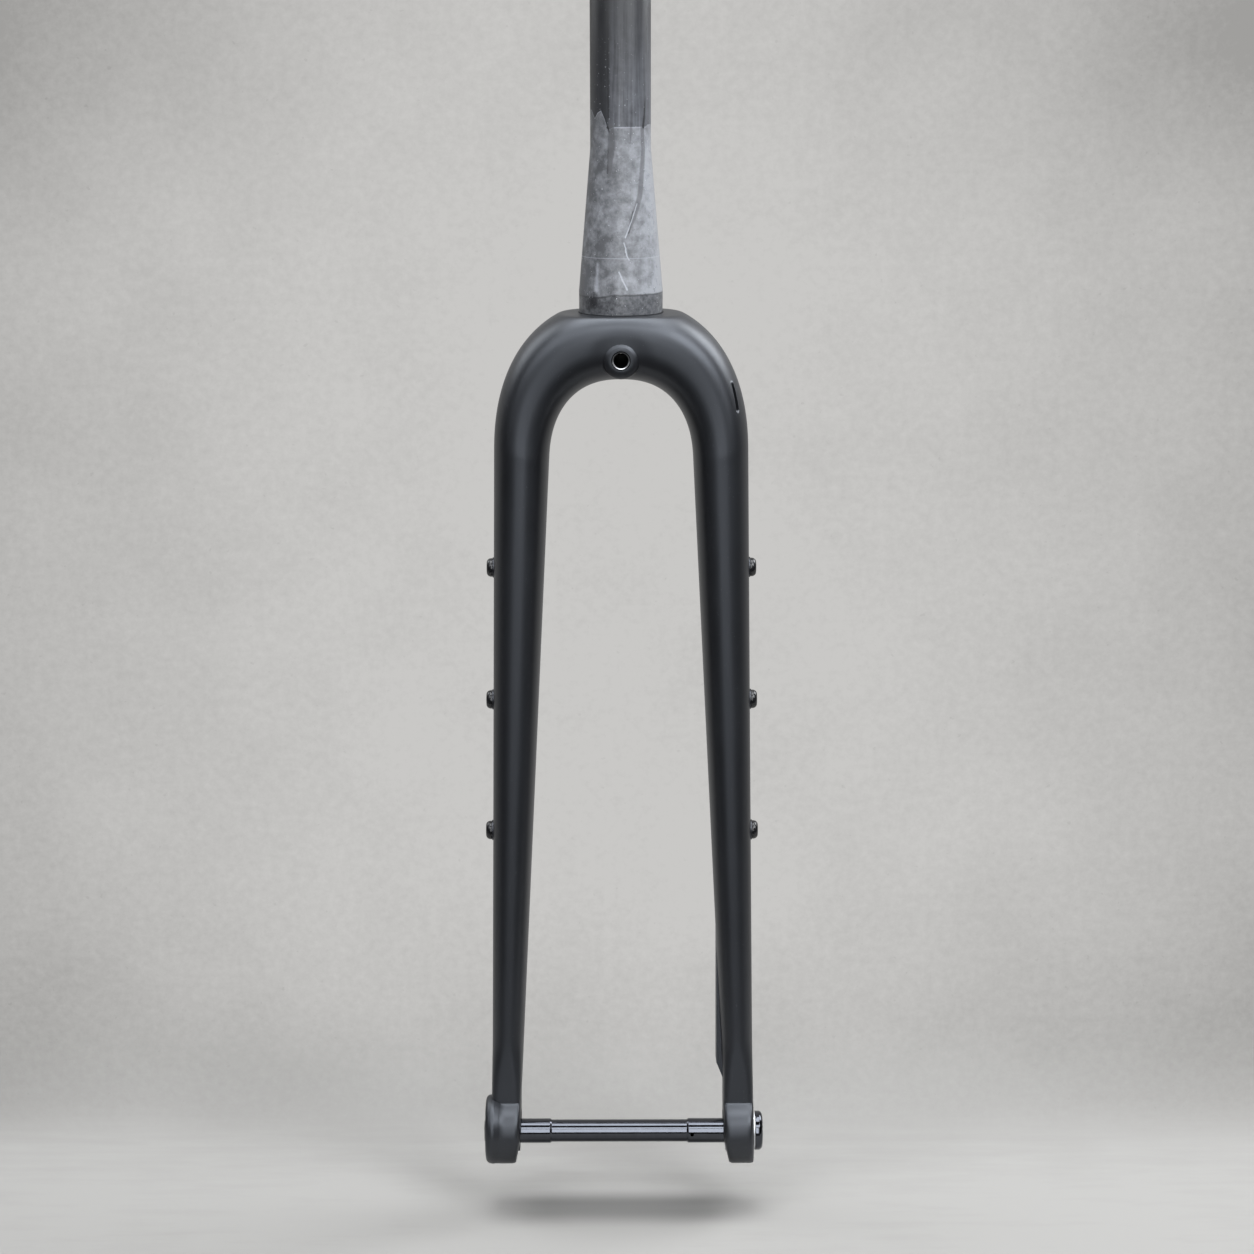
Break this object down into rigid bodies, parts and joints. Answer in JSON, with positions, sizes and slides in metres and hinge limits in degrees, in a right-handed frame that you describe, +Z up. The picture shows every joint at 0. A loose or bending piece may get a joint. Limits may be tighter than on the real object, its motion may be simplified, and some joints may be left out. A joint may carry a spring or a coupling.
{
  "type": "bicycle fork",
  "caption": "Rigid bicycle fork with a tapered steerer, rounded crown, two slim legs for a disc brake and a through axle across the dropouts.",
  "frame": {"origin": "on the steerer axis at the crown race seat's lower edge", "axes": "+Z up along the steerer, -Y the way the fork faces, +X to the disc brake's side, which is the rider's left"},
  "size_m": [0.1354, 0.0881, 0.6308],
  "materials": {
    "satin_black_carbon": "satin black paint over moulded carbon",
    "raw_carbon": "bare carbon as it left the mould, mottled and scuffed",
    "bare_aluminium": "machined",
    "dark_aluminium": "dark anodised",
    "black_axle": "polished black anodised",
    "steel_washer": "bright",
    "black_steel": "glossy black oxide"
  },
  "bodies": {
    "root": {"fork_body": "satin_black_carbon", "steerer_tube": "raw_carbon", "crown_hole_sleeve": "bare_aluminium", "thru_axle": "black_axle", "axle_washer": "steel_washer", "disc_side_axle_bush": "bare_aluminium", "drive_side_axle_insert": "dark_aluminium", "cage_bolt_disc_upper": "black_steel", "cage_insert_disc_upper": "dark_aluminium", "cage_bolt_disc_middle": "black_steel", "cage_insert_disc_middle": "dark_aluminium", "cage_bolt_disc_lower": "black_steel", "cage_insert_disc_lower": "dark_aluminium", "cage_bolt_drive_upper": "black_steel", "cage_insert_drive_upper": "dark_aluminium", "cage_bolt_drive_middle": "black_steel", "cage_insert_drive_middle": "dark_aluminium", "cage_bolt_drive_lower": "black_steel", "cage_insert_drive_lower": "dark_aluminium", "brake_insert_upper": "dark_aluminium", "brake_insert_lower": "dark_aluminium"}
  },
  "joints": []
}
